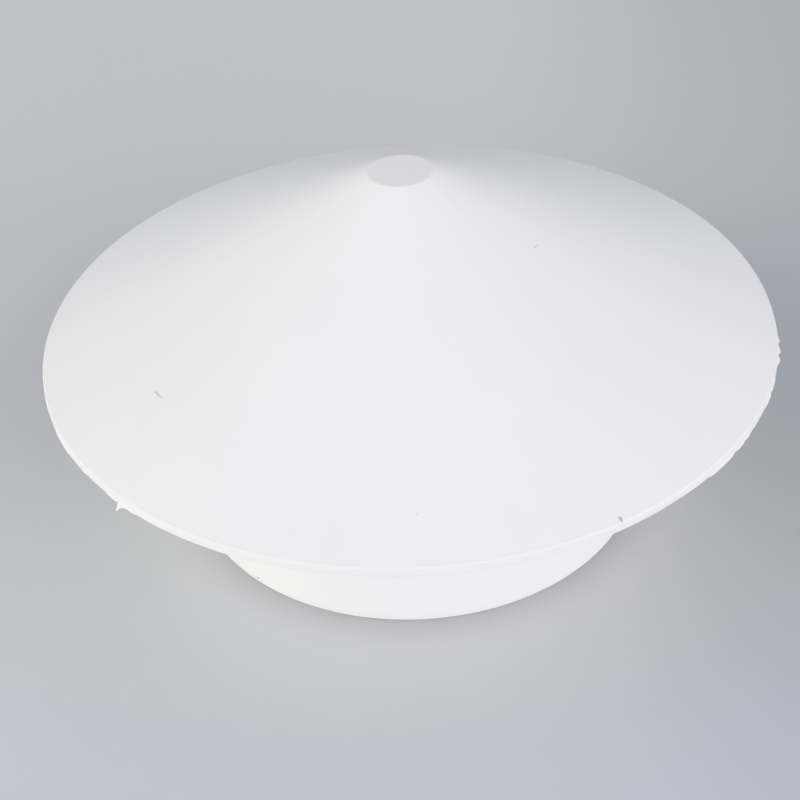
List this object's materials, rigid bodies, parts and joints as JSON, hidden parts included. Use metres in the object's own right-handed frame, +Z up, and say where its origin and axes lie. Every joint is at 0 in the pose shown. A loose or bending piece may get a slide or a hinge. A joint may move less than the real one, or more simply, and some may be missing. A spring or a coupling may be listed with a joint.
{
  "type": "vent pipe cap",
  "caption": "White plastic vent pipe cap: a shallow cone hat over a windowed throat and a plain collar that slips over the pipe.",
  "frame": {"origin": "centre of the collar's foot, on the pipe's axis", "axes": "+Z up along the pipe's axis to the tip, -Y the side that faces the viewer, +X to the viewer's right"},
  "size_m": [0.18, 0.18, 0.0885],
  "materials": {
    "white_plastic": "satin"
  },
  "bodies": {
    "root": {"vent_cap": "white_plastic"}
  },
  "joints": []
}
